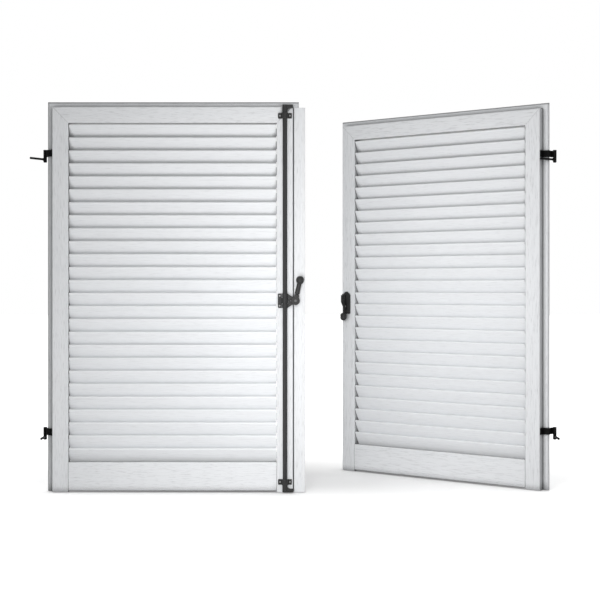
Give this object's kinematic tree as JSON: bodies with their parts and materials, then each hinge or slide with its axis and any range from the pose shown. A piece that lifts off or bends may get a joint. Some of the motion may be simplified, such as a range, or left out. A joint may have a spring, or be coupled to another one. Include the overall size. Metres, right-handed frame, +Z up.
{
  "type": "louvred shutters",
  "caption": "Pair of white louvred shutters on pintle hinges, with a lever-worked rod lock, a keeper with a ball catch and a cover strip over the meeting edges.",
  "frame": {"origin": "midway between the two hinge axes, level with the bottom of the leaves", "axes": "+X to the right seen from the room, +Y away from the room, +Z up"},
  "size_m": [2.0289, 0.6639, 1.4985],
  "materials": {
    "frame_paint": "white satin paint over embossed wood grain",
    "slat_paint": "white satin paint over embossed wood grain",
    "hardware_black": "matt black coating",
    "fastener_black": "dark grey coating"
  },
  "bodies": {
    "wall_pintles": {"left_lower_pintle": "hardware_black", "right_lower_pintle": "hardware_black"},
    "left_leaf": {"left_hinge_stile": "frame_paint", "left_meeting_stile": "frame_paint", "left_top_rail": "frame_paint", "left_bottom_rail": "frame_paint", "left_louvre_slats": "slat_paint", "cover_strip": "frame_paint", "cover_strip_screws": "fastener_black", "left_upper_gudgeon": "hardware_black", "left_lower_gudgeon": "hardware_black", "left_gudgeon_screws": "fastener_black", "top_rod_guide": "hardware_black", "bottom_rod_guide": "hardware_black", "rod_guide_screws": "fastener_black", "lever_bracket": "hardware_black", "lever_bracket_screws": "fastener_black"},
    "left_upper_pintle": {"left_upper_pintle": "hardware_black"},
    "espagnolette": {"espagnolette_rod": "hardware_black", "top_hook": "hardware_black", "bottom_hook": "hardware_black", "lever_wing": "hardware_black", "wing_rivet": "fastener_black"},
    "lever": {"lever_hub": "hardware_black", "lever_grip": "hardware_black", "lever_pivot_pin": "fastener_black"},
    "right_leaf": {"right_hinge_stile": "frame_paint", "right_meeting_stile": "frame_paint", "right_top_rail": "frame_paint", "right_bottom_rail": "frame_paint", "right_louvre_slats": "slat_paint", "right_upper_gudgeon": "hardware_black", "right_lower_gudgeon": "hardware_black", "right_gudgeon_screws": "fastener_black", "lever_keeper": "hardware_black", "keeper_screws": "fastener_black", "catch_pivot_pin": "fastener_black"},
    "right_upper_pintle": {"right_upper_pintle": "hardware_black"},
    "keeper_catch": {"keeper_catch": "hardware_black"}
  },
  "joints": [
    {"name": "left_leaf_hinge", "type": "hinge", "parent": "wall_pintles", "child": "left_leaf", "pos_m": [-0.987, 0, 0.228], "axis": [0, 0, 1], "range_deg": [0, 180]},
    {"name": "right_leaf_hinge", "type": "hinge", "parent": "wall_pintles", "child": "right_leaf", "pos_m": [0.987, 0, 0.228], "axis": [0, 0, -1], "range_deg": [-36.5, 143.5]},
    {"name": "left_upper_pintle_swivel", "type": "hinge", "parent": "left_leaf", "child": "left_upper_pintle", "pos_m": [-0.987, 0, 1.301], "axis": [0, 0, 1], "range_deg": [-143, 37]},
    {"name": "right_upper_pintle_swivel", "type": "hinge", "parent": "right_leaf", "child": "right_upper_pintle", "pos_m": [0.987, 0, 1.301], "axis": [0, 0, 1], "range_deg": [0, 201.5]},
    {"name": "rod_turn", "type": "hinge", "parent": "left_leaf", "child": "espagnolette", "pos_m": [-0.0575, -0.067, 0.733], "axis": [0, 0, -1], "range_deg": [0, 95]},
    {"name": "lever_tip", "type": "hinge", "parent": "espagnolette", "child": "lever", "pos_m": [-0.017, -0.067, 0.733], "axis": [0, 1, 0], "range_deg": [-15, 68]},
    {"name": "catch_tip", "type": "hinge", "parent": "right_leaf", "child": "keeper_catch", "pos_m": [0.19306, 0.50601, 0.703], "axis": [0.8039, -0.5948, 0], "range_deg": [-8, 6]}
  ]
}
